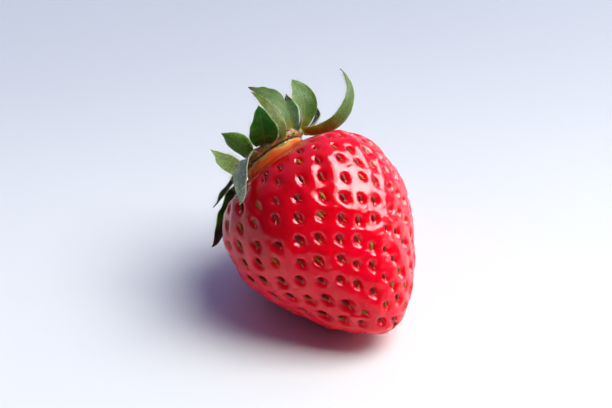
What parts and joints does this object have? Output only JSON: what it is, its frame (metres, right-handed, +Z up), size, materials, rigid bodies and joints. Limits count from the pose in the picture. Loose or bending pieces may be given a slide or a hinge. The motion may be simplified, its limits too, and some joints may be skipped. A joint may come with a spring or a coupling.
{
  "type": "strawberry",
  "caption": "Ripe strawberry with a green calyx, lying on its side on a small flat spot.",
  "frame": {"origin": "centre of the small flat spot that the fruit rests on", "axes": "+Z up, away from the resting surface. The stem end points up and to -X +Y, and the tip points to +X -Y"},
  "size_m": [0.0358, 0.0436, 0.0387],
  "materials": {
    "flesh": "moist glossy red fruit skin, paler at the neck",
    "calyx_disc": "satin olive green plant tissue",
    "stem": "matt pale green plant tissue, dry at the broken end",
    "sepal": "satin green leaf with pale hairy margins",
    "bract": "satin yellow-green leaf with pale hairy margins",
    "achene": "glossy seed coat, dark red-brown to olive yellow"
  },
  "bodies": {
    "root": {"flesh": "flesh", "calyx_disc": "calyx_disc", "stem_stump": "stem", "bract_1": "bract", "bract_2": "bract", "bract_3": "bract", "bract_4": "bract", "bract_5": "bract", "bract_6": "bract", "bract_7": "bract", "sepal_1": "sepal", "sepal_2": "sepal", "sepal_3": "sepal", "sepal_4": "sepal", "sepal_5": "sepal", "sepal_6": "sepal", "sepal_7": "sepal", "sepal_8": "sepal"}
  },
  "joints": []
}
